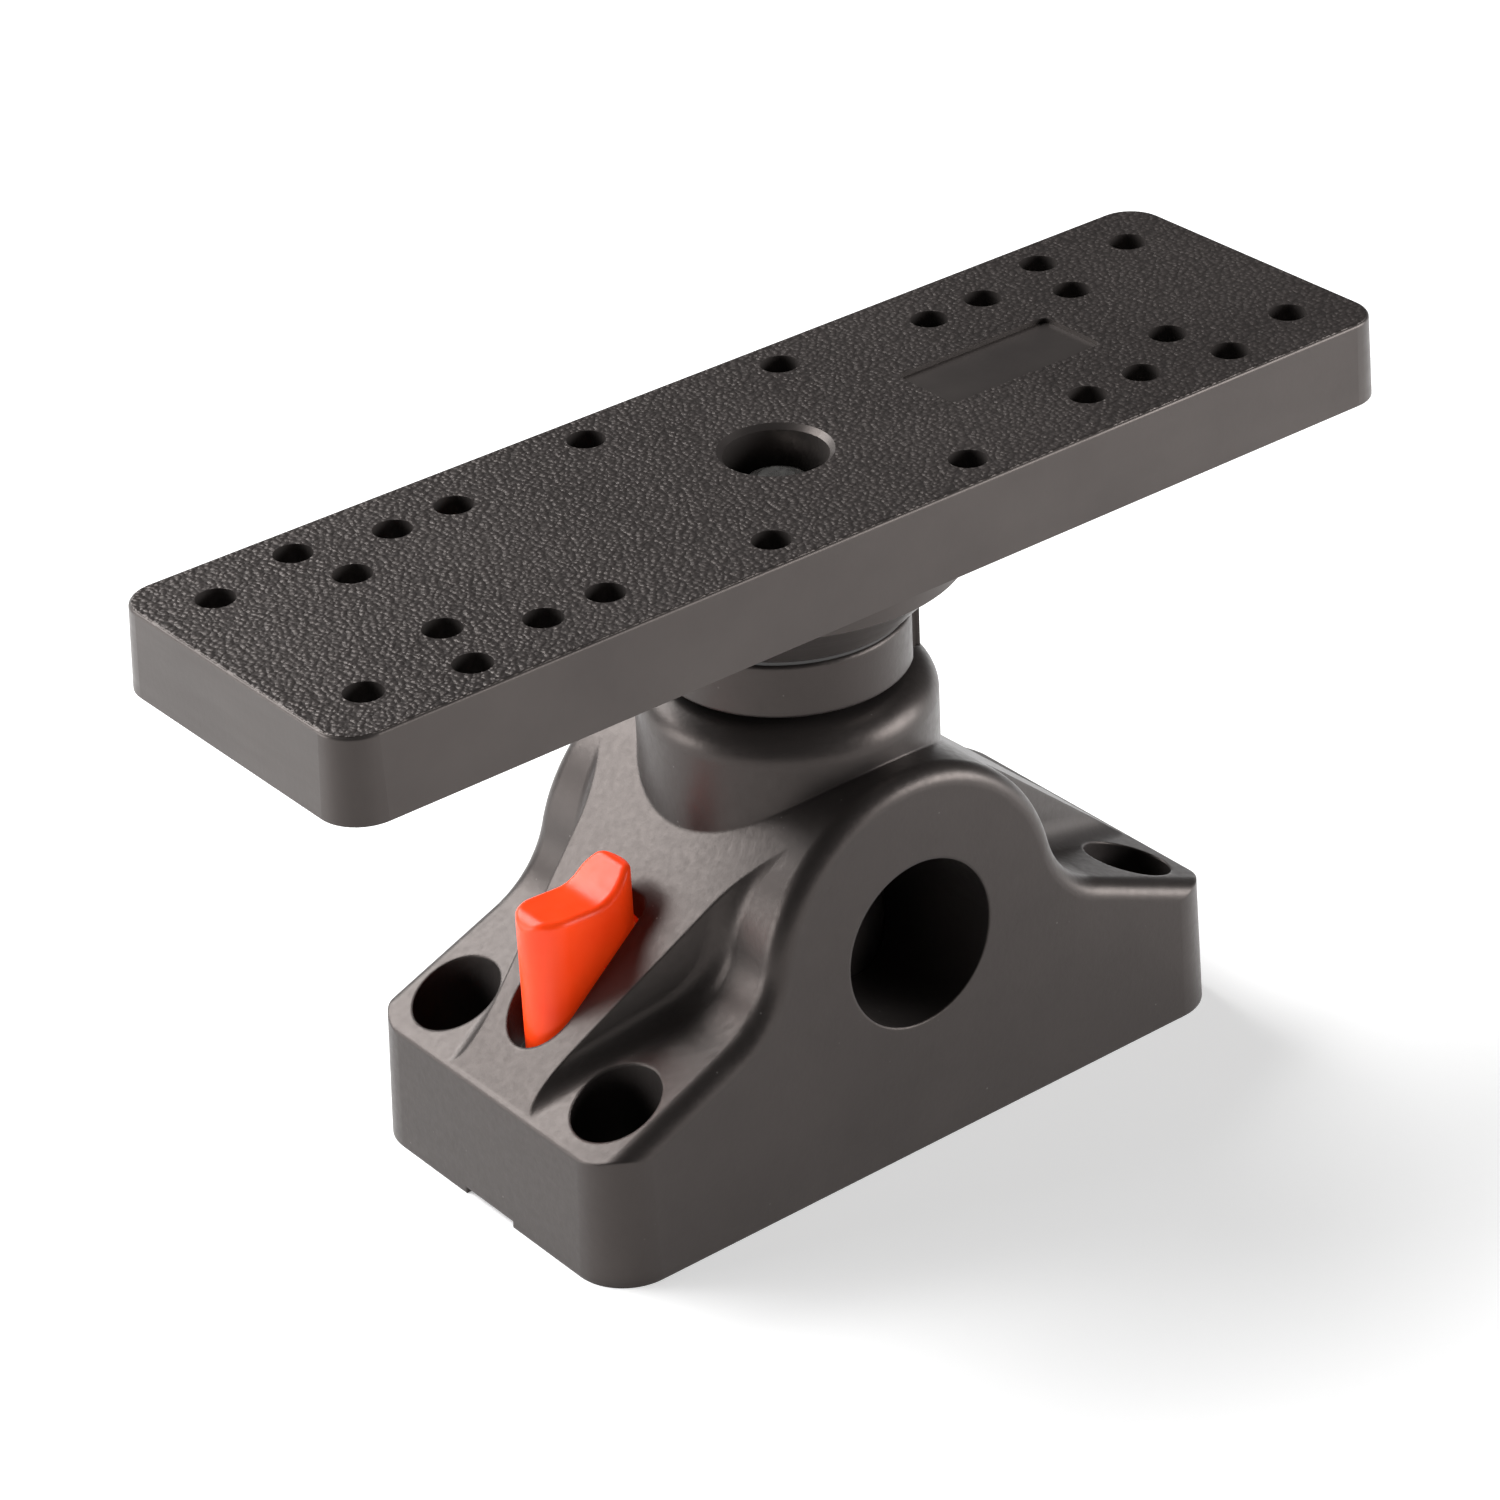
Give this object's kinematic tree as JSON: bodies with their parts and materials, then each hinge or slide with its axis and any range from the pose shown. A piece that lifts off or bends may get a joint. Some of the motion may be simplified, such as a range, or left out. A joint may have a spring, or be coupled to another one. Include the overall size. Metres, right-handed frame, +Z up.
{
  "type": "swivel plate mount with quick-release base",
  "caption": "Rectangular drilled plate that swivels on a post, held in a latching deck base with a red release lever and a cross socket.",
  "frame": {"origin": "centre of the base's underside, on the deck", "axes": "+Z up out of the deck, +X along the base and the plate away from the latch lever, +Y across"},
  "size_m": [0.1804, 0.0582, 0.0992],
  "materials": {
    "housing_nylon": "satin glass-filled nylon",
    "plate_nylon": "moulded grain on top, satin sides",
    "post_nylon": "satin glass-filled nylon",
    "lever_red": "satin-gloss orange-red",
    "stainless": "turned and rolled stainless steel",
    "brass": "turned brass",
    "acetal": "satin black acetal",
    "nylon_ring": "pale nylon"
  },
  "bodies": {
    "base": {"base_housing": "housing_nylon", "swivel_post": "post_nylon", "pivot_bolt": "stainless", "friction_disc": "acetal", "spring_washer": "stainless", "flat_washer": "stainless", "lock_nut": "stainless", "nut_insert": "nylon_ring", "lever_pivot_pin": "stainless", "pivot_keeper": "stainless", "keeper_screws": "stainless", "plunger_spring": "stainless", "spring_bush": "brass", "plunger_guide": "brass"},
    "plate": {"mount_plate": "plate_nylon", "pivot_bush": "acetal"},
    "lever": {"latch_lever": "lever_red"},
    "plunger": {"lock_plunger": "stainless", "plunger_cross_pin": "stainless"}
  },
  "joints": [
    {"name": "plate_swivel", "type": "hinge", "parent": "base", "child": "plate", "pos_m": [0, 0, 0.0762], "axis": [0, 0, 1], "continuous": true},
    {"name": "lever_hinge", "type": "hinge", "parent": "base", "child": "lever", "pos_m": [-0.038, 0, 0.021], "axis": [0, -1, 0], "range_deg": [0, 16], "stiffness_Nm_per_rad": 0.006, "springref_deg": -17.19},
    {"name": "plunger_slide", "type": "slide", "parent": "base", "child": "plunger", "axis": [-1, 0, 0], "range_m": [0, 0.0034], "deforming": ["plunger_spring"]}
  ],
  "couplings": [
    {"joint": "plunger_slide", "follows": "lever_hinge", "m_per_rad": 0.01193}
  ]
}
